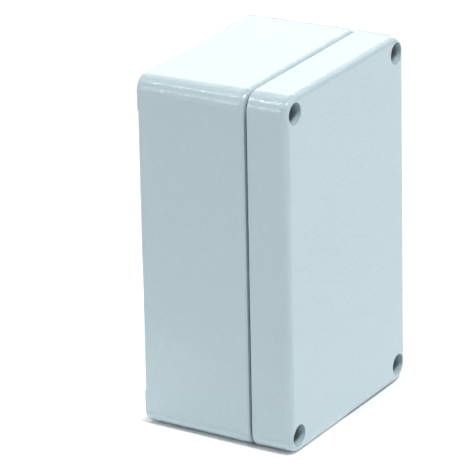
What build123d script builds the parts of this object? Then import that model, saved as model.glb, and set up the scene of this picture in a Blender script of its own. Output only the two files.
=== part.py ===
from build123d import *
import os

os.makedirs("parts", exist_ok=True)

# Die cast enclosure standing on its short end, millimetres.
# X is the width, Y the depth with the lid towards -Y, Z the height.
# The origin is the middle of the footprint, on the floor.

# overall sizes
width = 80.0
height = 125.0
depth = 57.5
mid_z = height / 2
front_y = -depth / 2
back_y = depth / 2

# outer shape of the two castings
corner_r = 6.0
draft = 1.0  # of the base
lid_draft = 0.4
lid_depth = 15.6
joint_y = front_y + lid_depth  # plane where the lid rests on the base
rebate = 0.3  # the base stands back by this much along the outside of the joint
lid_rebate = 0.4  # and the lid by this much
rebate_w = 1.2
rim_r = 2.2  # rounding of the base's outer rim
lid_rim_r = 0.3
front_edge_r = 2.4  # rounding of the lid's front edge
back_edge_r = 1.0  # rounding of the base's back edge
foot_h = 0.4
foot_x = 19.5  # feet cover |x| above this and |z| above foot_z
foot_z = 49.9
foot_step_r = 0.3

# room inside: a plus-shaped hollow that leaves a block in each corner
wall = 3.5
floor_t = 3.0
block_x = 19.5
block_z = 50.0
hollow_r = 3.0
block_r = 4.0
hollow_draft = 1.0
floor_r = 1.5  # rounding where the walls meet the floor
tongue_w = 1.6
tongue_h = 1.3
tongue_r = 0.3

# lid details
lid_plate_t = 3.0
groove_in = -0.3  # groove limits, measured outwards from the hollow's edge
groove_out = 1.9
groove_d = 4.0
lip_in = -1.7
lid_hollow_draft = 1.5
screw_pitch_x = 69.0
screw_pitch_z = 113.0
counterbore_r = 3.75
seat_t = 4.4  # metal left between the screw's counterbore and the joint
clear_r = 2.25
hole_rim_r = 0.2

# base holes
thread_r = 2.05
thread_d = 11.0
keeper_pocket_r = 3.3
keeper_pocket_d = 1.4
fixing_pitch_x = 52.0
fixing_pitch_z = 113.0
fixing_r = 2.4
fixing_pocket_r = 3.8
fixing_seat_t = 4.5

# bosses on the base's floor
plate_pitch_x = 50.0
plate_pitch_z = 76.0
plate_boss_r = 4.0
plate_boss_h = 8.0
plate_hole_r = 1.65
plate_hole_d = 9.0
earth_z = -50.5  # from the middle of the height
earth_boss_r = 5.0
earth_boss_h = 6.0
earth_hole_d = 7.0
boss_foot_r = 0.8

# fixings
shank_r = 2.0
head_r = 3.5
head_h = 2.6
slot_w = 1.2
slot_d = 1.1
lid_screw_l = 12.0
washer_r = 3.6
washer_t = 0.8
ring_bore_r = 2.05
keeper_r = 3.1
keeper_t = 1.2
earth_screw_l = 8.0
lock_washer_r = 4.0
lock_washer_t = 0.8
clamp_washer_r = 4.5
clamp_washer_t = 1.0


def facing_front(y):
    """Sketch plane at depth y, drawn in X and Z about the middle of the height, growing towards the lid."""
    return Plane(origin=(0, y, mid_z), x_dir=(1, 0, 0), z_dir=(0, -1, 0))


def facing_back(y):
    """Sketch plane at depth y growing towards the back; its second axis points down."""
    return Plane(origin=(0, y, mid_z), x_dir=(1, 0, 0), z_dir=(0, 1, 0))


land_y = joint_y + rebate
back_face_y = back_y - foot_h
floor_y = back_face_y - floor_t
tongue_y = joint_y - tongue_h

# plan of the hollow at the top of the sealing tongue
with BuildSketch(Plane.XY) as hollow:
    Rectangle(width - 2 * wall, 2 * block_z)
    Rectangle(2 * block_x, height - 2 * wall)
    corners = hollow.vertices()
    inner = corners.filter_by(
        lambda v: abs(abs(v.X) - block_x) < 0.01 and abs(abs(v.Y) - block_z) < 0.01
    )
    fillet(inner, block_r)
    outer = hollow.vertices().filter_by(
        lambda v: (
            abs(abs(v.X) - (width / 2 - wall)) < 0.01
            and abs(abs(v.Y) - block_z) < 0.01
        )
        or (
            abs(abs(v.X) - block_x) < 0.01
            and abs(abs(v.Y) - (height / 2 - wall)) < 0.01
        )
    )
    fillet(outer, hollow_r)

with BuildSketch(Plane.XY) as tongue_plan:
    add(hollow.sketch)
    offset(amount=tongue_w)

with BuildSketch(Plane.XY) as groove_outer_plan:
    add(hollow.sketch)
    offset(amount=groove_out)

with BuildSketch(Plane.XY) as groove_inner_plan:
    add(hollow.sketch)
    offset(amount=groove_in)

with BuildSketch(Plane.XY) as lid_hollow_plan:
    add(hollow.sketch)
    offset(amount=lip_in)

with BuildSketch(Plane.XY) as gasket_outer_plan:
    add(hollow.sketch)
    offset(amount=groove_out - 0.05)

with BuildSketch(Plane.XY) as gasket_inner_plan:
    add(hollow.sketch)
    offset(amount=groove_in + 0.05)

# base body up to its recessed back face
with BuildPart() as base_body:
    with BuildSketch(facing_back(land_y)):
        RectangleRounded(width, height, corner_r)
    extrude(amount=back_face_y - land_y, taper=draft)
    fillet(base_body.faces().sort_by(Axis.Y)[-1].edges(), back_edge_r)
    fillet(base_body.faces().sort_by(Axis.Y)[0].edges(), rim_r)

# the same body up to the feet, kept at the four corners only
with BuildPart() as feet:
    with BuildSketch(facing_back(land_y)):
        RectangleRounded(width, height, corner_r)
    extrude(amount=back_y - land_y, taper=draft)
    fillet(feet.faces().sort_by(Axis.Y)[-1].edges(), back_edge_r)
    with BuildSketch(facing_back(back_y - 4.0)):
        for sx in (-1, 1):
            for sz in (-1, 1):
                with Locations((sx * (foot_x + 15.0), sz * (foot_z + 15.0))):
                    RectangleRounded(30.0, 30.0, 2.0)
    extrude(amount=10.0, mode=Mode.INTERSECT)
    steps = feet.faces().sort_by(Axis.Y)[-4:].edges().filter_by(
        lambda e: abs(e.center().X) < foot_x + 2.0
        or abs(e.center().Z - mid_z) < foot_z + 2.0
    )
    fillet(steps, foot_step_r)

with BuildPart() as base:
    add(base_body.part)
    add(feet.part)
    # land that carries the lid, inside the rebate
    with BuildSketch(facing_front(land_y + 0.5)):
        RectangleRounded(
            width - 2 * rebate_w, height - 2 * rebate_w, corner_r - rebate_w
        )
    extrude(amount=0.5 + rebate)
    # sealing tongue around the hollow
    with BuildSketch(facing_front(joint_y + 0.5)):
        add(tongue_plan.sketch)
    extrude(amount=0.5 + tongue_h)
    # hollow
    with BuildSketch(facing_back(tongue_y)):
        add(hollow.sketch)
    extrude(amount=floor_y - tongue_y, taper=hollow_draft, mode=Mode.SUBTRACT)
    fillet(
        base.faces()
        .filter_by(
            lambda f: abs(f.center().Y - floor_y) < 0.01 and f.area > 1000.0
        )
        .edges(),
        floor_r,
    )
    fillet(
        base.faces().sort_by(Axis.Y)[0].edges(),
        tongue_r,
    )
    # bosses for a mounting plate
    with BuildSketch(facing_front(floor_y)):
        with GridLocations(plate_pitch_x, plate_pitch_z, 2, 2):
            Circle(plate_boss_r + 0.4)
    extrude(amount=plate_boss_h, taper=2.0)
    with BuildSketch(facing_front(floor_y)):
        with Locations((0, earth_z)):
            Circle(earth_boss_r)
    extrude(amount=earth_boss_h, taper=1.0)
    boss_feet = base.edges().filter_by(GeomType.CIRCLE).filter_by(
        lambda e: abs(e.center().Y - floor_y) < 0.01
        and e.radius < earth_boss_r + 0.5
    )
    fillet(boss_feet, boss_foot_r)
    # blind threaded holes in the bosses
    with BuildSketch(facing_back(floor_y - plate_boss_h)):
        with GridLocations(plate_pitch_x, plate_pitch_z, 2, 2):
            Circle(plate_hole_r)
    extrude(amount=plate_hole_d, mode=Mode.SUBTRACT)
    with BuildSketch(facing_back(floor_y - earth_boss_h)):
        with Locations((0, -earth_z)):
            Circle(thread_r)
    extrude(amount=earth_hole_d, mode=Mode.SUBTRACT)
    # threaded holes for the lid screws, each with a pocket for the ring that keeps the screw
    with BuildSketch(facing_back(joint_y)):
        with GridLocations(screw_pitch_x, screw_pitch_z, 2, 2):
            Circle(thread_r)
    extrude(amount=thread_d, mode=Mode.SUBTRACT)
    with BuildSketch(facing_back(joint_y)):
        with GridLocations(screw_pitch_x, screw_pitch_z, 2, 2):
            Circle(keeper_pocket_r)
    extrude(amount=keeper_pocket_d, mode=Mode.SUBTRACT)
    # wall fixing holes, each at the bottom of a deep pocket
    with BuildSketch(facing_back(joint_y)):
        with GridLocations(fixing_pitch_x, fixing_pitch_z, 2, 2):
            Circle(fixing_pocket_r)
    extrude(amount=back_y - fixing_seat_t - joint_y, mode=Mode.SUBTRACT)
    with BuildSketch(facing_back(joint_y)):
        with GridLocations(fixing_pitch_x, fixing_pitch_z, 2, 2):
            Circle(fixing_r)
    extrude(amount=depth, mode=Mode.SUBTRACT)

with BuildPart() as lid:
    with BuildSketch(facing_front(joint_y - lid_rebate)):
        RectangleRounded(width, height, corner_r)
    extrude(amount=lid_depth - lid_rebate, taper=lid_draft)
    fillet(lid.faces().sort_by(Axis.Y)[0].edges(), front_edge_r)
    fillet(lid.faces().sort_by(Axis.Y)[-1].edges(), lid_rim_r)
    # land that rests on the base, inside the rebate
    with BuildSketch(facing_back(joint_y - lid_rebate - 0.5)):
        RectangleRounded(
            width - 2 * rebate_w, height - 2 * rebate_w, corner_r - rebate_w
        )
    extrude(amount=0.5 + lid_rebate)
    # hollow under the plate
    with BuildSketch(facing_front(joint_y)):
        add(lid_hollow_plan.sketch)
    extrude(
        amount=lid_depth - lid_plate_t, taper=lid_hollow_draft, mode=Mode.SUBTRACT
    )
    fillet(
        lid.faces()
        .filter_by(
            lambda f: abs(f.center().Y - front_y - lid_plate_t) < 0.01
            and f.area > 1000.0
        )
        .edges(),
        floor_r,
    )
    # groove for the sealing cord
    with BuildSketch(facing_front(joint_y)):
        add(groove_outer_plan.sketch)
        add(groove_inner_plan.sketch, mode=Mode.SUBTRACT)
    extrude(amount=groove_d, mode=Mode.SUBTRACT)
    # screw holes
    with BuildSketch(facing_front(joint_y + 1.0)):
        with GridLocations(screw_pitch_x, screw_pitch_z, 2, 2):
            Circle(clear_r)
    extrude(amount=seat_t + 2.0, mode=Mode.SUBTRACT)
    with BuildSketch(facing_front(joint_y - seat_t)):
        with GridLocations(screw_pitch_x, screw_pitch_z, 2, 2):
            Circle(counterbore_r)
    extrude(amount=lid_depth, mode=Mode.SUBTRACT)
    # the counterbores run out through the rounded front edge, so their rims are in several pieces
    rims = lid.edges().filter_by(
        lambda e: all(
            abs(
                (
                    (abs((e @ t).X) - screw_pitch_x / 2) ** 2
                    + (abs((e @ t).Z - mid_z) - screw_pitch_z / 2) ** 2
                )
                ** 0.5
                - counterbore_r
            )
            < 0.02
            and (e @ t).Y < front_y + front_edge_r
            for t in (0.0, 0.3, 0.6, 1.0)
        )
    )
    fillet(rims, hole_rim_r)

with BuildPart() as lid_gasket:
    with BuildSketch(facing_front(tongue_y - 0.05)):
        add(gasket_outer_plan.sketch)
        add(gasket_inner_plan.sketch, mode=Mode.SUBTRACT)
    extrude(amount=tongue_y - 0.05 - (joint_y - groove_d))
    fillet(lid_gasket.faces().sort_by(Axis.Y)[-1].edges(), 0.5)

base.part.label = "base"
export_step(base.part, "parts/base.step")
lid.part.label = "lid"
export_step(lid.part, "parts/lid.step")
lid_gasket.part.label = "lid_gasket"
export_step(lid_gasket.part, "parts/lid_gasket.step")

# fixings of the lid
seat_y = joint_y - seat_t
corner_names = {
    (-1, 1): "upper_left",
    (1, 1): "upper_right",
    (-1, -1): "lower_left",
    (1, -1): "lower_right",
}
for (sx, sz), where in corner_names.items():
    px, pz = sx * screw_pitch_x / 2, mid_z + sz * screw_pitch_z / 2

    with BuildPart() as screw_washer:
        with BuildSketch(
            Plane(origin=(px, seat_y, pz), x_dir=(1, 0, 0), z_dir=(0, -1, 0))
        ):
            Circle(washer_r)
            Circle(ring_bore_r, mode=Mode.SUBTRACT)
        extrude(amount=washer_t)
        fillet(
            screw_washer.edges()
            .filter_by(GeomType.CIRCLE)
            .filter_by(lambda e: abs(e.radius - washer_r) < 0.01),
            0.15,
        )
    screw_washer.part.label = "screw_washer_" + where
    export_step(screw_washer.part, "parts/screw_washer_" + where + ".step")

    with BuildPart() as screw_keeper:
        with BuildSketch(
            Plane(origin=(px, joint_y, pz), x_dir=(1, 0, 0), z_dir=(0, 1, 0))
        ):
            Circle(keeper_r)
            Circle(ring_bore_r, mode=Mode.SUBTRACT)
        extrude(amount=keeper_t)
        chamfer(
            screw_keeper.edges()
            .filter_by(GeomType.CIRCLE)
            .filter_by(lambda e: abs(e.radius - keeper_r) < 0.01),
            0.2,
        )
    screw_keeper.part.label = "screw_keeper_" + where
    export_step(screw_keeper.part, "parts/screw_keeper_" + where + ".step")

    under_head = Plane(
        origin=(px, seat_y - washer_t, pz), x_dir=(1, 0, 0), z_dir=(0, -1, 0)
    )
    with BuildPart() as lid_screw:
        with BuildSketch(under_head):
            Circle(head_r)
        extrude(amount=head_h)
        fillet(lid_screw.faces().sort_by(Axis.Y)[0].edges(), 0.25)
        with BuildSketch(under_head):
            Circle(shank_r)
        extrude(amount=-lid_screw_l)
        chamfer(lid_screw.faces().sort_by(Axis.Y)[-1].edges(), 0.5)
        with BuildSketch(under_head.offset(head_h - slot_d)):
            Rectangle(slot_w, 3 * head_r, rotation=20.0 * sx + 35.0 * sz)
        extrude(amount=slot_d + 1.0, mode=Mode.SUBTRACT)
    lid_screw.part.label = "lid_screw_" + where
    export_step(lid_screw.part, "parts/lid_screw_" + where + ".step")

# earth terminal in the base
earth_y = floor_y - earth_boss_h
earth_top = Plane(
    origin=(0, earth_y, mid_z + earth_z), x_dir=(1, 0, 0), z_dir=(0, -1, 0)
)
with BuildPart() as earth_lock_washer:
    with BuildSketch(earth_top):
        Circle(lock_washer_r)
        with PolarLocations(lock_washer_r, 12):
            Rectangle(2.0, 0.8, mode=Mode.SUBTRACT)
        Circle(ring_bore_r, mode=Mode.SUBTRACT)
    extrude(amount=lock_washer_t)
earth_lock_washer.part.label = "earth_lock_washer"
export_step(earth_lock_washer.part, "parts/earth_lock_washer.step")

with BuildPart() as earth_clamp_washer:
    with BuildSketch(earth_top.offset(lock_washer_t)):
        Circle(clamp_washer_r)
        Circle(ring_bore_r, mode=Mode.SUBTRACT)
    extrude(amount=clamp_washer_t)
    fillet(
        earth_clamp_washer.edges()
        .filter_by(GeomType.CIRCLE)
        .filter_by(lambda e: abs(e.radius - clamp_washer_r) < 0.01),
        0.2,
    )
earth_clamp_washer.part.label = "earth_clamp_washer"
export_step(earth_clamp_washer.part, "parts/earth_clamp_washer.step")

earth_head = earth_top.offset(lock_washer_t + clamp_washer_t)
with BuildPart() as earth_screw:
    with BuildSketch(earth_head):
        Circle(head_r)
    extrude(amount=head_h)
    fillet(earth_screw.faces().sort_by(Axis.Y)[0].edges(), 0.25)
    with BuildSketch(earth_head):
        Circle(shank_r)
    extrude(amount=-earth_screw_l)
    chamfer(earth_screw.faces().sort_by(Axis.Y)[-1].edges(), 0.5)
    with BuildSketch(earth_head.offset(head_h - slot_d)):
        Rectangle(slot_w, 3 * head_r, rotation=70.0)
    extrude(amount=slot_d + 1.0, mode=Mode.SUBTRACT)
earth_screw.part.label = "earth_screw"
export_step(earth_screw.part, "parts/earth_screw.step")
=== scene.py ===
import math

import bmesh
import bpy
import numpy as np
from mathutils import Matrix, Vector


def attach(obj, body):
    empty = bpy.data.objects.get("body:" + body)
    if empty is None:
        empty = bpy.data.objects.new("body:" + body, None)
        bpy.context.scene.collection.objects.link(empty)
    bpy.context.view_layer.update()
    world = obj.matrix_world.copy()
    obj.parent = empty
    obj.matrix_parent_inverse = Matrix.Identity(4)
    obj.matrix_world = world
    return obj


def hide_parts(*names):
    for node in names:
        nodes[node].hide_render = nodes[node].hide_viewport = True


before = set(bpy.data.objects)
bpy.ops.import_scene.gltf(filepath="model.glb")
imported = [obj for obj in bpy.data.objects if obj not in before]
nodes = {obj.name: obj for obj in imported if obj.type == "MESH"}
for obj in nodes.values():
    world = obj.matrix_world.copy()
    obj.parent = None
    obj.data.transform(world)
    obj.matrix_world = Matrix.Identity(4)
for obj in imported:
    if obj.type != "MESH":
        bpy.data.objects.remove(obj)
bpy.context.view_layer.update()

scene = bpy.context.scene

MM = 0.001
MID_Z = 62.5
CORNERS = {
    "upper_left": (-1, 1),
    "upper_right": (1, 1),
    "lower_left": (-1, -1),
    "lower_right": (1, -1),
}
PITCH = 0.7  # M4 thread
FRONT_Y, JOINT_Y, BACK_Y = -28.75, -13.15, 28.35  # the lid's face, the joint, the recessed back
LID_EDGE_Y, BASE_EDGE_Y = -13.55, -12.85  # where each casting's outside starts, at the joint
SEAT_Y = -17.55  # bottom of the lid's counterbores
SCREW_Y, EARTH_Y = -18.35, 17.55  # planes under the screw heads


# ---------------------------------------------------------------- node helpers
class Nodes:
    """A small wrapper for building one material's node tree."""

    def __init__(self, name):
        self.mat = bpy.data.materials.new(name)
        self.mat.use_nodes = True
        self.tree = self.mat.node_tree
        self.tree.nodes.clear()
        self.out = self.add("ShaderNodeOutputMaterial")
        self.bsdf = self.add("ShaderNodeBsdfPrincipled")
        self.link(self.bsdf.outputs["BSDF"], self.out.inputs["Surface"])
        self.coord = self.add("ShaderNodeTexCoord").outputs["Object"]

    def add(self, kind, **values):
        n = self.tree.nodes.new(kind)
        for k, v in values.items():
            setattr(n, k, v)
        return n

    def link(self, a, b):
        self.tree.links.new(a, b)

    def put(self, socket, value):
        if isinstance(value, bpy.types.NodeSocket):
            self.link(value, socket)
        else:
            socket.default_value = value

    def noise(self, scale, detail=2.0, rough=0.5, coord=None, distortion=0.0):
        n = self.add("ShaderNodeTexNoise")
        self.link(coord or self.coord, n.inputs["Vector"])
        n.inputs["Scale"].default_value = scale
        n.inputs["Detail"].default_value = detail
        n.inputs["Roughness"].default_value = rough
        n.inputs["Distortion"].default_value = distortion
        return n.outputs["Fac"]

    def cells(self, scale, feature="F1", coord=None, rand=1.0):
        n = self.add("ShaderNodeTexVoronoi", feature=feature)
        self.link(coord or self.coord, n.inputs["Vector"])
        n.inputs["Scale"].default_value = scale
        n.inputs["Randomness"].default_value = rand
        return n.outputs["Distance"]

    def scaled(self, x, y, z, coord=None):
        n = self.add("ShaderNodeVectorMath", operation="MULTIPLY")
        self.link(coord or self.coord, n.inputs[0])
        n.inputs[1].default_value = (x, y, z)
        return n.outputs["Vector"]

    def shifted(self, x, y, z, coord=None):
        n = self.add("ShaderNodeVectorMath", operation="SUBTRACT")
        self.link(coord or self.coord, n.inputs[0])
        n.inputs[1].default_value = (x, y, z)
        return n.outputs["Vector"]

    def split(self, coord=None):
        n = self.add("ShaderNodeSeparateXYZ")
        self.link(coord or self.coord, n.inputs[0])
        return n.outputs[0], n.outputs[1], n.outputs[2]

    def math(self, op, a, b=0.0, c=None, clamp=False):
        n = self.add("ShaderNodeMath", operation=op)
        n.use_clamp = clamp
        self.put(n.inputs[0], a)
        self.put(n.inputs[1], b)
        if c is not None:
            self.put(n.inputs[2], c)
        return n.outputs[0]

    def ramp(self, fac, stops):
        n = self.add("ShaderNodeValToRGB")
        e = n.color_ramp.elements
        while len(e) < len(stops):
            e.new(0.5)
        for el, (pos, col) in zip(e, stops):
            el.position = pos
            el.color = (*col, 1.0) if isinstance(col, tuple) else (col, col, col, 1.0)
        self.link(fac, n.inputs["Fac"])
        return n.outputs["Color"]

    def span(self, fac, lo, hi, a=0.0, b=1.0):
        n = self.add("ShaderNodeMapRange")
        n.inputs["From Min"].default_value = lo
        n.inputs["From Max"].default_value = hi
        n.inputs["To Min"].default_value = a
        n.inputs["To Max"].default_value = b
        self.link(fac, n.inputs["Value"])
        return n.outputs["Result"]

    def mix(self, fac, a, b, blend="MIX"):
        n = self.add("ShaderNodeMix", data_type="RGBA", blend_type=blend)
        self.put(n.inputs["Factor"], fac)
        for i, v in ((6, a), (7, b)):
            if isinstance(v, tuple) and len(v) == 3:
                v = (*v, 1.0)
            self.put(n.inputs[i], v)
        return n.outputs[2]

    def bump(self, height, distance, strength=1.0, normal=None):
        n = self.add("ShaderNodeBump")
        n.inputs["Distance"].default_value = distance
        n.inputs["Strength"].default_value = strength
        self.link(height, n.inputs["Height"])
        if normal is not None:
            self.link(normal, n.inputs["Normal"])
        return n.outputs["Normal"]

    def set(self, **values):
        for k, v in values.items():
            name = {
                "color": "Base Color",
                "rough": "Roughness",
                "metal": "Metallic",
                "ior": "IOR",
                "level": "Specular IOR Level",
                "normal": "Normal",
                "coat": "Coat Weight",
                "coat_rough": "Coat Roughness",
                "coat_normal": "Coat Normal",
                "sss": "Subsurface Weight",
                "sss_scale": "Subsurface Scale",
                "aniso": "Anisotropic",
            }[k]
            if isinstance(v, tuple) and len(v) == 3:
                v = (*v, 1.0)
            self.put(self.bsdf.inputs[name], v)
        return self.mat


# ------------------------------------------------------------------- materials
COAT = (0.447, 0.560, 0.602)


def powder_coat(name="powder_coat", level=0.20, coat=0.7):
    m = Nodes(name)
    broad = m.noise(22.0, 2.0)
    fine = m.noise(620.0, 3.0, 0.6)
    speck = m.noise(2600.0, 1.0, 0.5)
    shade = m.span(broad, 0.3, 0.7, 0.0, 1.0)
    base = m.mix(
        shade,
        tuple(c * 0.985 for c in COAT),
        tuple(min(1.0, c * 1.012) for c in COAT),
    )
    mottled = m.mix(
        m.span(fine, 0.35, 0.65, 0.0, 1.0),
        tuple(c * 0.965 for c in COAT),
        tuple(min(1.0, c * 1.03) for c in COAT),
    )
    color = m.mix(0.45, base, mottled)
    # sparse pale and dark grains of pigment
    dark = m.span(speck, 0.24, 0.20, 0.0, 0.06)
    pale = m.span(speck, 0.78, 0.82, 0.0, 0.08)
    color = m.mix(dark, color, (0.30, 0.37, 0.40))
    color = m.mix(pale, color, (0.62, 0.72, 0.76))
    # shade painted down the four deep screw holes, which the lights alone leave too pale
    x, y, z = m.split()
    ox = m.math("SUBTRACT", m.math("ABSOLUTE", x), 0.0345)
    oz = m.math("SUBTRACT", m.math("ABSOLUTE", m.math("SUBTRACT", z, MID_Z * MM)), 0.0565)
    off = m.math("SQRT", m.math("ADD", m.math("MULTIPLY", ox, ox), m.math("MULTIPLY", oz, oz)))
    inside = m.math("MULTIPLY", m.span(off, 0.00395, 0.00380), m.span(y, (SEAT_Y + 0.4) * MM, (SEAT_Y + 0.2) * MM))
    deep = m.math("MULTIPLY", inside, m.span(y, (FRONT_Y + 1.4) * MM, (FRONT_Y + 3.2) * MM, 0.0, 1.0))
    color = m.mix(deep, color, tuple(c * 0.54 for c in COAT))
    # shade is painted in the narrow gap between the castings as well, the coat darkened to a tenth there
    gx = m.math("MAXIMUM", m.math("SUBTRACT", m.math("ABSOLUTE", x), 0.0340), 0.0)
    gz = m.math("MAXIMUM", oz, 0.0)
    corner = m.math("SQRT", m.math("ADD", m.math("MULTIPLY", gx, gx), m.math("MULTIPLY", gz, gz)))
    gap_y = m.math("ABSOLUTE", m.math("SUBTRACT", y, (LID_EDGE_Y + BASE_EDGE_Y) / 2 * MM))
    gap = m.math("MULTIPLY", m.span(gap_y, 0.00058, 0.00044), m.span(corner, 0.00590, 0.00550))
    color = m.mix(gap, color, tuple(c * 0.10 for c in COAT))
    rough = m.span(m.noise(480.0, 2.0), 0.3, 0.7, 0.19, 0.26)
    # a faint orange peel under a glossy skin whose own peel breaks highlights into grains
    peel = m.noise(900.0, 0.0)
    ripple = m.noise(420.0, 1.0, 0.5)
    n1 = m.bump(ripple, 0.00002)
    n2 = m.bump(peel, 0.00003, 1.0, n1)
    skin = m.bump(peel, 0.00015, 1.0, n1)
    return m.set(
        color=color, rough=rough, normal=n2, ior=1.5, level=level, coat=coat, coat_rough=0.04, coat_normal=skin
    )


def bare_casting():
    m = Nodes("bare_casting")
    flow = m.noise(
        150.0, 3.0, 0.55, coord=m.scaled(1.0, 1.0, 0.5), distortion=0.3
    )
    cloud = m.noise(24.0, 3.0)
    grain = m.noise(2200.0, 2.0)
    pits = m.cells(900.0)
    col = m.ramp(
        flow,
        [
            (0.30, (0.52, 0.52, 0.53)),
            (0.50, (0.58, 0.58, 0.59)),
            (0.72, (0.64, 0.64, 0.65)),
        ],
    )
    col = m.mix(m.span(cloud, 0.55, 0.75, 0.0, 0.25), col, (0.47, 0.47, 0.49))
    rough = m.span(flow, 0.3, 0.7, 0.52, 0.40)
    h = m.math("ADD", m.math("MULTIPLY", grain, 0.5), m.math("MULTIPLY", pits, 0.25))
    n1 = m.bump(flow, 0.00003)
    n2 = m.bump(h, 0.00004, 1.0, n1)
    return m.set(color=col, rough=rough, metal=0.85, normal=n2)


def machined_alloy():
    m = Nodes("machined_alloy")
    lines = m.noise(1400.0, 2.0, 0.6, coord=m.scaled(1.0, 1.0, 0.05))
    cross = m.noise(900.0, 2.0, 0.6, coord=m.scaled(0.06, 1.0, 1.0))
    both = m.math("ADD", m.math("MULTIPLY", lines, 0.7), m.math("MULTIPLY", cross, 0.3))
    col = m.ramp(both, [(0.3, (0.62, 0.62, 0.63)), (0.7, (0.80, 0.80, 0.81))])
    rough = m.span(both, 0.3, 0.7, 0.46, 0.36)
    return m.set(color=col, rough=rough, metal=0.8, normal=m.bump(both, 0.00001))


def cut_bore():
    """Drilled and tapped wall: close rings along the depth."""
    m = Nodes("cut_bore")
    x, y, z = m.split()
    turns = m.math("MULTIPLY", y, 1000.0 / PITCH)
    f = m.math("FRACT", turns)
    tri = m.math("ABSOLUTE", m.math("SUBTRACT", f, 0.5))
    wear = m.noise(2600.0, 2.0)
    # the ramp paints shade into the thread roots and makes the crests lighter
    col = m.ramp(tri, [(0.05, (0.30, 0.30, 0.31)), (0.45, (0.72, 0.72, 0.73))])
    rough = m.span(wear, 0.3, 0.7, 0.30, 0.42)
    n = m.bump(tri, 0.00035)
    return m.set(color=col, rough=rough, metal=1.0, normal=m.bump(wear, 0.00001, 1.0, n))


def seal_rubber():
    m = Nodes("seal_rubber")
    pore = m.cells(2600.0)
    cloud = m.noise(180.0, 3.0)
    bloom = m.noise(60.0, 3.0, 0.6)
    col = m.ramp(cloud, [(0.35, (0.028, 0.028, 0.030)), (0.65, (0.045, 0.045, 0.047))])
    col = m.mix(m.span(bloom, 0.55, 0.75, 0.0, 0.35), col, (0.10, 0.10, 0.105))
    rough = m.span(cloud, 0.3, 0.7, 0.55, 0.75)
    h = m.math("ADD", m.math("MULTIPLY", pore, 0.6), cloud)
    return m.set(color=col, rough=rough, normal=m.bump(h, 0.00005))


def polymer():
    m = Nodes("washer_polymer")
    cloud = m.noise(260.0, 3.0)
    tex = m.noise(2400.0, 2.0)
    col = m.ramp(cloud, [(0.35, (0.66, 0.65, 0.60)), (0.65, (0.76, 0.75, 0.70))])
    rough = m.span(tex, 0.3, 0.7, 0.38, 0.52)
    return m.set(
        color=col, rough=rough, normal=m.bump(tex, 0.00002), sss=0.15, sss_scale=0.001
    )


def metal(name, low, high, rough_lo, rough_hi, centre, axis_rings=True, depth=0.00001):
    """Turned metal: rings about an axis along Y through centre (x, z), in mm."""
    m = Nodes(name)
    c = m.shifted(centre[0] * MM, 0.0, centre[1] * MM)
    x, y, z = m.split(c)
    r = m.math("SQRT", m.math("ADD", m.math("MULTIPLY", x, x), m.math("MULTIPLY", z, z)))
    comb = m.add("ShaderNodeCombineXYZ")
    m.put(comb.inputs[0], m.math("MULTIPLY", r, 9000.0))
    m.put(comb.inputs[1], m.math("MULTIPLY", y, 9000.0))
    rings = m.noise(1.0, 2.0, 0.6, coord=comb.outputs[0])
    grime = m.noise(420.0, 3.0, 0.6)
    col = m.mix(m.span(rings, 0.3, 0.7), low, high)
    col = m.mix(m.span(grime, 0.52, 0.75, 0.0, 0.35), col, tuple(v * 0.55 for v in low))
    rough = m.span(grime, 0.3, 0.7, rough_lo, rough_hi)
    return m.set(color=col, rough=rough, metal=1.0, normal=m.bump(rings, depth))


MAT = {
    "paint": powder_coat(),
    "recess": powder_coat("powder_coat_recess", 0.06, 0.0),
    "bare": bare_casting(),
    "machined": machined_alloy(),
    "bore": cut_bore(),
    "rubber": seal_rubber(),
    "polymer": polymer(),
}


# ------------------------------------------------- finishes of the two castings
def face_data(ob):
    me = ob.data
    co = np.zeros(len(me.vertices) * 3)
    me.vertices.foreach_get("co", co)
    co = co.reshape(-1, 3) / MM
    n = len(me.polygons)
    centre = np.zeros((n, 3))
    normal = np.zeros(n * 3)
    me.polygons.foreach_get("normal", normal)
    normal = normal.reshape(-1, 3)
    for i, p in enumerate(me.polygons):
        centre[i] = co[list(p.vertices)].mean(0)
    return centre, normal


def hole_distance(c, half_x, half_z):
    return np.hypot(np.abs(c[:, 0]) - half_x, np.abs(c[:, 2] - MID_Z) - half_z)


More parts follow.
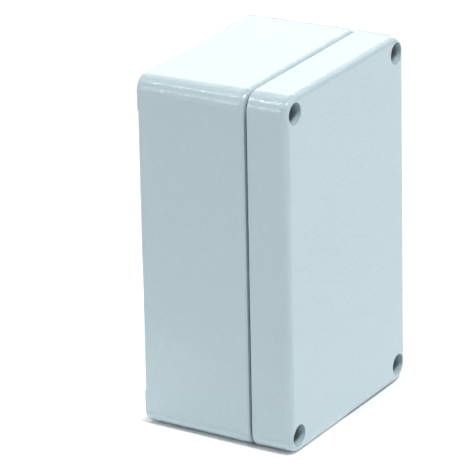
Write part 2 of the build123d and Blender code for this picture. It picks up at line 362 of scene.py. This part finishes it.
def finish_castings():
    for name in ("base", "lid"):
        ob = nodes[name]
        me = ob.data
        me.materials.clear()
        for k in ("paint", "bare", "machined", "bore", "recess"):
            me.materials.append(MAT[k])
        c, nrm = face_data(ob)
        x, y, z = c[:, 0], c[:, 1], c[:, 2] - MID_Z
        d = np.hypot(
            np.maximum(np.abs(x) - 34.0, 0), np.maximum(np.abs(z) - 56.5, 0)
        )
        kind = np.ones(len(c), int)
        screw = hole_distance(c, 34.5, 56.5)
        if name == "base":
            painted = (d > 4.9) | (y > BACK_Y - 0.8) | ((d > 4.6) & (y > JOINT_Y + 0.01) & (y < BASE_EDGE_Y + 0.4))
            kind[painted] = 0
            kind[(np.abs(y - JOINT_Y) < 0.02) & (np.abs(nrm[:, 1]) > 0.9)] = 2
            plate = hole_distance(c, 25.0, 38.0)
            earth = np.hypot(x, z + 50.5)
            side = np.abs(nrm[:, 1]) < 0.5
            front_half = y < 6.0
            kind[(side & front_half & (screw < 2.1)) | (side & (plate < 1.7)) | (side & (earth < 2.1))] = 3
            kind[(screw < 3.35) & (screw > 2.02) & (y > JOINT_Y + 0.05) & (y < JOINT_Y + 1.55)] = 2
        else:
            painted = (d > 5.2) | (y < FRONT_Y + 2.5) | ((screw < 4.1) & (y < SEAT_Y + 0.05))
            painted |= (d > 4.6) & (y < JOINT_Y - 0.01) & (y > LID_EDGE_Y - 0.1)
            kind[painted] = 0
            kind[(np.abs(y - JOINT_Y) < 0.02) & (np.abs(nrm[:, 1]) > 0.9)] = 2
            kind[(screw < 2.3) & (np.abs(nrm[:, 1]) < 0.5)] = 2
            kind[(screw < 3.9) & (np.abs(y - SEAT_Y) < 0.02)] = 2
        # the narrow gap gets the coat without its glossy layer
        kind[(kind == 0) & (d < 5.75) & (y > LID_EDGE_Y - 0.1) & (y < BASE_EDGE_Y + 0.1)] = 4
        me.polygons.foreach_set("material_index", kind.astype(np.int32))
        me.update()


finish_castings()


def only(ob, mat):
    ob.data.materials.clear()
    ob.data.materials.append(mat)


only(nodes["lid_gasket"], MAT["rubber"])
for c in CORNERS:
    only(nodes["screw_washer_" + c], MAT["polymer"])
    only(nodes["screw_keeper_" + c], MAT["polymer"])
EARTH = (0.0, 12.0)
BRASS = metal("earth_brass", (0.62, 0.42, 0.17), (0.80, 0.60, 0.30), 0.24, 0.40, EARTH)
SPRING = metal("spring_steel", (0.34, 0.34, 0.33), (0.52, 0.52, 0.50), 0.28, 0.42, EARTH)
only(nodes["earth_lock_washer"], SPRING)
only(nodes["earth_clamp_washer"], BRASS)


# --------------------------------------------------------------------- screws
def lathe(profile, segs):
    """Vertices and faces of a closed profile of (radius, height) turned about the height axis."""
    verts, faces, rings = [], [], []
    for r, h in profile:
        if r < 1e-9:
            rings.append([len(verts)])
            verts.append((0.0, h, 0.0))
        else:
            rings.append(list(range(len(verts), len(verts) + segs)))
            for i in range(segs):
                a = 2 * math.pi * i / segs
                verts.append((r * math.cos(a), h, r * math.sin(a)))
    for a, b in zip(rings, rings[1:]):
        for i in range(segs):
            j = (i + 1) % segs
            q = [a[i % len(a)], a[j % len(a)], b[j % len(b)], b[i % len(b)]]
            q = list(dict.fromkeys(q))
            if len(q) > 2:
                faces.append(q)
    return verts, faces


def bevel_arc(cx, cy, r, a0, a1, n=5):
    out = []
    for i in range(n + 1):
        a = math.radians(a0 + (a1 - a0) * i / n)
        out.append((cx + r * math.cos(a), cy + r * math.sin(a)))
    return out


def slotted_head(radius, height, slot_w, slot_d, angle):
    """A cheese head standing on h = 0 with its slot across the top, cut by a box."""
    e = 0.35
    profile = [(0.0, 0.0), (1.2, 0.0), (radius - 0.12, 0.0)]
    profile += bevel_arc(radius - 0.12, 0.12, 0.12, -90, 0, 3)[1:]
    profile += bevel_arc(radius - e, height - e, e, 0, 90, 6)
    profile += [(radius * 0.5, height + 0.0), (0.0, height)]
    v, f = lathe(profile, 96)
    head = mesh_object("head_tmp", v, f)
    # the slot: a box with rounded upper lips
    w, lip = slot_w / 2, 0.12
    top = height + 0.3
    sect = [(-w, height - slot_d), (w, height - slot_d), (w, height - lip)]
    sect += [(w + lip - lip * math.cos(a), height - lip + lip * math.sin(a)) for a in (0.4, 0.8, 1.2, math.pi / 2)]
    sect += [(w + lip, top), (-w - lip, top)]
    sect += [(-w - lip + lip * math.cos(a), height - lip + lip * math.sin(a)) for a in (math.pi / 2, 1.2, 0.8, 0.4)]
    sect += [(-w, height - lip)]
    n = len(sect)
    bv = [(px, h, -radius - 1) for px, h in sect] + [(px, h, radius + 1) for px, h in sect]
    bf = [list(range(n))[::-1], list(range(n, 2 * n))]
    bf += [[i, (i + 1) % n, n + (i + 1) % n, n + i] for i in range(n)]
    cutter = mesh_object("slot_tmp", bv, bf)
    for o in (head, cutter):
        bm = bmesh.new()
        bm.from_mesh(o.data)
        bmesh.ops.recalc_face_normals(bm, faces=bm.faces)
        bm.to_mesh(o.data)
        bm.free()
    cutter.data.transform(Matrix.Rotation(math.radians(angle), 4, "Y"))
    mod = head.modifiers.new("slot", "BOOLEAN")
    mod.operation = "DIFFERENCE"
    mod.solver = "EXACT"
    mod.object = cutter
    bpy.context.view_layer.update()
    dg = bpy.context.evaluated_depsgraph_get()
    me = bpy.data.meshes.new_from_object(head.evaluated_get(dg))
    bpy.data.objects.remove(head)
    bpy.data.objects.remove(cutter)
    return me


def mesh_object(name, verts, faces):
    me = bpy.data.meshes.new(name)
    me.from_pydata(verts, [], faces)
    me.update()
    ob = bpy.data.objects.new(name, me)
    scene.collection.objects.link(ob)
    return ob


def thread_mesh(length, r_major, r_minor, runout, tip, segs=40, per_turn=10):
    """Threaded shank hanging below h = 0, its ridge a real helix, with a chamfered tip."""
    profile = []
    for j in range(per_turn):
        t = j / per_turn
        # flat crest, flank, flat root, flank
        if t < 0.16:
            profile.append(1.0)
        elif t < 0.5:
            profile.append(1.0 - (t - 0.16) / 0.34)
        elif t < 0.66:
            profile.append(0.0)
        else:
            profile.append((t - 0.66) / 0.34)
    def radius(h, theta):
        if h > -runout:
            return r_minor + 0.12 if runout > 0 else r_major
        t = ((-h) / PITCH - theta / (2 * math.pi)) % 1.0
        k = t * per_turn
        a, b = profile[int(k) % per_turn], profile[(int(k) + 1) % per_turn]
        r = r_minor + (r_major - r_minor) * (a + (b - a) * (k - int(k)))
        fade = min(1.0, (-h - runout) / 0.5)
        r = (r_minor + 0.12) * (1 - fade) + r * fade
        return min(r, r_minor - tip + (length + h) * 1.0 + 0.0)
    rows = int(math.ceil(length / PITCH)) + 1
    verts, faces = [], []
    count = rows * per_turn + 1
    for i in range(segs):
        theta = 2 * math.pi * i / segs
        for j in range(count):
            h = -((j / per_turn - 1 + theta / (2 * math.pi)) * PITCH)
            h = max(-length, min(0.0, h))
            r = max(0.05, radius(h, theta))
            verts.append((r * math.cos(theta), h, r * math.sin(theta)))
    for i in range(segs):
        nxt = (i + 1) % segs
        shift = per_turn if nxt == 0 else 0
        for j in range(count - 1):
            ja, jb = j + shift, j + 1 + shift
            if jb >= count:
                ja, jb = min(ja, count - 1), count - 1
            q = [i * count + j, i * count + j + 1, nxt * count + jb, nxt * count + ja]
            faces.append(q)
    return verts, faces


def threaded_screw(name, node, body, mat, origin, head, length, slot_wd, angle, runout):
    """origin: the plane under the head, mm. The screw's axis runs along -Y, outwards."""
    head_r, head_h = head
    me = slotted_head(head_r, head_h, slot_wd[0], slot_wd[1], angle)
    v, f = thread_mesh(length, 2.0, 1.62, runout, 0.45)
    bm = bmesh.new()
    bm.from_mesh(me)
    sh = bpy.data.meshes.new("shank_tmp")
    sh.from_pydata(v, [], f)
    bs = bmesh.new()
    bs.from_mesh(sh)
    bmesh.ops.remove_doubles(bs, verts=bs.verts, dist=1e-5)
    bmesh.ops.dissolve_degenerate(bs, dist=1e-6, edges=bs.edges)
    # the tip is closed; the top end runs 0.05 into the head
    tip_edges = [e for e in bs.edges if e.is_boundary and all(abs(w.co.y + length) < 1e-4 for w in e.verts)]
    if tip_edges:
        bmesh.ops.contextual_create(bs, geom=tip_edges)
    top_edges = [e for e in bs.edges if e.is_boundary and all(abs(w.co.y) < 1e-4 for w in e.verts)]
    if top_edges:
        bmesh.ops.contextual_create(bs, geom=top_edges)
    for w in bs.verts:
        if abs(w.co.y) < 1e-4:
            w.co.y = 0.05
    bs.to_mesh(sh)
    bs.free()
    bm.from_mesh(sh)
    bmesh.ops.recalc_face_normals(bm, faces=bm.faces)
    bm.to_mesh(me)
    bm.free()
    bpy.data.meshes.remove(sh)
    ob = bpy.data.objects.new(name, me)
    scene.collection.objects.link(ob)
    # local +Y is outwards: turn half about Z so that it becomes -Y
    turn = Matrix.Rotation(math.pi, 4, "Z")
    place = Matrix.Translation(Vector(origin)) @ turn
    me.transform(Matrix.Scale(MM, 4) @ place)
    for p in me.polygons:
        p.use_smooth = True
    only(ob, mat)
    mod = ob.modifiers.new("edges", "EDGE_SPLIT")
    mod.split_angle = math.radians(32)
    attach(ob, body)
    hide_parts(node)
    return ob


for c, (sx, sz) in CORNERS.items():
    cx, cz = sx * 34.5, MID_Z + sz * 56.5
    steel = metal(
        "stainless_" + c, (0.50, 0.50, 0.48), (0.68, 0.68, 0.66), 0.22, 0.38, (cx, cz)
    )
    threaded_screw(
        "cheese_head_" + c, "lid_screw_" + c, "screw_" + c, steel,
        (cx, SCREW_Y - 0.01, cz), (3.5, 2.6), 12.0, (1.2, 1.1), 20 * sx + 35 * sz, 1.2,
    )
threaded_screw(
    "earth_cheese_head", "earth_screw", "earth_screw", BRASS,
    (0.0, EARTH_Y - 0.01, 12.0), (3.5, 2.6), 8.0, (1.2, 1.1), 70, 0.8,
)

# ----------------------------------------------------------------- the studio
FLOOR_TILT = math.radians(1.0)  # the box stands on its drafted end, so it leans back by 1 degree
FLOOR_LINE = BASE_EDGE_Y * MM


def make_floor():
    me = bpy.data.meshes.new("studio_floor")
    bm = bmesh.new()
    bmesh.ops.create_grid(bm, x_segments=8, y_segments=8, size=3.2)
    for v in bm.verts:
        v.co.z = math.tan(FLOOR_TILT) * (v.co.y - FLOOR_LINE)
    bm.to_mesh(me)
    bm.free()
    ob = bpy.data.objects.new("studio_floor", me)
    scene.collection.objects.link(ob)
    m = Nodes("studio_floor")
    m.bsdf.inputs["Base Color"].default_value = (0.85, 0.86, 0.87, 1)
    m.bsdf.inputs["Roughness"].default_value = 0.6
    m.bsdf.inputs["Specular IOR Level"].default_value = 0.2
    grain = m.noise(900.0, 2.0)
    m.set(
        color=m.mix(m.span(grain, 0.3, 0.7), (0.845, 0.855, 0.865), (0.86, 0.87, 0.88)),
        normal=m.bump(grain, 0.00003),
    )
    # painted light: the floor glows round the box, most behind it and to its left where the box's shadows fall, to
    # wash them out; it does not glow under the box or just beside it, and less further away
    x, y, z = m.split()
    ax, ay = m.math("ABSOLUTE", x), m.math("ABSOLUTE", y)
    dx = m.math("SUBTRACT", ax, 0.0400)
    dy = m.math("SUBTRACT", ay, 0.0284)
    gap = m.math("MAXIMUM", dx, dy)
    clear = m.span(gap, -0.0050, 0.0010, 0.0, 1.0)
    out = m.math("MAXIMUM", ax, ay)
    sides = m.span(x, -0.0020, 0.0020, GLOW_LEFT, GLOW_RIGHT)
    to_back, to_front = m.span(y, 0.0300, 0.0320), m.span(y, -0.0300, -0.0320)
    close = m.math("ADD", m.math("MULTIPLY", to_back, GLOW_BACK), m.math("MULTIPLY", to_front, GLOW_FRONT))
    rest = m.math("SUBTRACT", 1.0, m.math("ADD", to_back, to_front))
    close = m.math("ADD", close, m.math("MULTIPLY", rest, sides))
    blend = m.span(out, 0.095, 0.110)
    near = m.math("ADD", m.math("MULTIPLY", close, m.math("SUBTRACT", 1.0, blend)), m.math("MULTIPLY", blend, GLOW_NEAR))
    fade = m.span(out, 0.45, 0.60)
    near = m.math("ADD", m.math("MULTIPLY", near, m.math("SUBTRACT", 1.0, fade)), m.math("MULTIPLY", fade, GLOW_FAR))
    m.bsdf.inputs["Emission Color"].default_value = (1, 1, 1, 1)
    m.link(
        m.math("MULTIPLY", clear, near),
        m.bsdf.inputs["Emission Strength"],
    )
    me.materials.append(m.mat)
    return ob


GLOW_BACK, GLOW_FRONT, GLOW_LEFT, GLOW_RIGHT = 0.546, 0.065, 0.197, 0.000
GLOW_NEAR, GLOW_FAR = 0.000, 0.000
make_floor()

world = bpy.data.worlds.new("studio")
world.use_nodes = True
scene.world = world
wt = world.node_tree
wt.nodes.clear()
w_out = wt.nodes.new("ShaderNodeOutputWorld")
w_bg = wt.nodes.new("ShaderNodeBackground")
w_bg.inputs["Color"].default_value = (0.97, 0.99, 1.0, 1)
w_bg.inputs["Strength"].default_value = 0.0
wt.links.new(w_bg.outputs[0], w_out.inputs["Surface"])


def sun(name, towards, strength, angle, color=(1, 1, 1)):
    li = bpy.data.lights.new(name, "SUN")
    li.energy = strength
    li.angle = math.radians(angle)
    li.color = color
    ob = bpy.data.objects.new(name, li)
    ob.rotation_mode = "QUATERNION"
    ob.rotation_quaternion = Vector(towards).normalized().to_track_quat("Z", "Y")
    ob.location = Vector(towards).normalized() * 1.5
    scene.collection.objects.link(ob)
    return ob


def sphere(az, el):
    """Direction from an azimuth counted from +X towards +Y and a height above the table, degrees."""
    a, e = math.radians(az), math.radians(el)
    return (math.cos(e) * math.cos(a), math.cos(e) * math.sin(a), math.sin(e))


def over_side(angle):
    """Direction that the rounded upper left edge mirrors: 0 is low at the left, 90 is overhead."""
    a = math.radians(angle)
    return (-0.8826 * math.cos(a), 0.47, 0.8826 * math.sin(a))


# the softboxes: wide lobes far away, so that they light the object evenly
sun("key", (-0.17, -0.35, 0.921), 2.160, 4.0)
sun("back_right_high", sphere(30, 21), 0.409, 30.0)
sun("right_low", sphere(0, 12), 1.215, 44.0)
sun("back_left_low", sphere(135, 12), 0.569, 44.0)
sun("front_low", sphere(270, 12), 0.305, 44.0)
sun("back_high", sphere(60, 42), 0.444, 50.0)
sun("back_left_high", sphere(120, 42), 0.197, 50.0)
sun("front_left_high", sphere(240, 42), 0.378, 50.0)
sun("front_right_high", sphere(300, 42), 0.695, 50.0)
sun("strip_20", over_side(20), 0.130, 9.0)
sun("strip_66", over_side(66), 0.250, 8.0)
sun("strip_88", over_side(88), 0.062, 12.0)
sun("strip_118", over_side(118), 0.083, 12.0)

# ----------------------------------------------------------------- the camera
AZ, EL, ROLL = math.radians(-59.428), math.radians(20.940), math.radians(-1.126)
FOCAL_PX, DIST, TX, TY = 4339.3, 1.46160, 0.012175, 0.002703
back = Vector((math.sin(AZ) * math.cos(EL), -math.cos(AZ) * math.cos(EL), math.sin(EL)))
right = Vector((math.cos(AZ), math.sin(AZ), 0.0))
up = back.cross(right)
r2 = math.cos(ROLL) * right + math.sin(ROLL) * up
u2 = -math.sin(ROLL) * right + math.cos(ROLL) * up
cam_data = bpy.data.cameras.new("camera")
cam_data.sensor_fit = "HORIZONTAL"
cam_data.sensor_width = 36.0
cam_data.lens = 36.0 * FOCAL_PX / 475.0
cam_data.clip_start = 0.05
cam_data.clip_end = 60.0
cam = bpy.data.objects.new("camera", cam_data)
scene.collection.objects.link(cam)
rot = Matrix((r2, u2, back)).transposed().to_4x4()
loc = Vector((0, 0, MID_Z * MM)) + DIST * back - TX * r2 - TY * u2
cam.matrix_world = Matrix.Translation(loc) @ rot
scene.camera = cam

scene.view_settings.view_transform = "Standard"
scene.view_settings.look = "None"

bpy.context.view_layer.update()
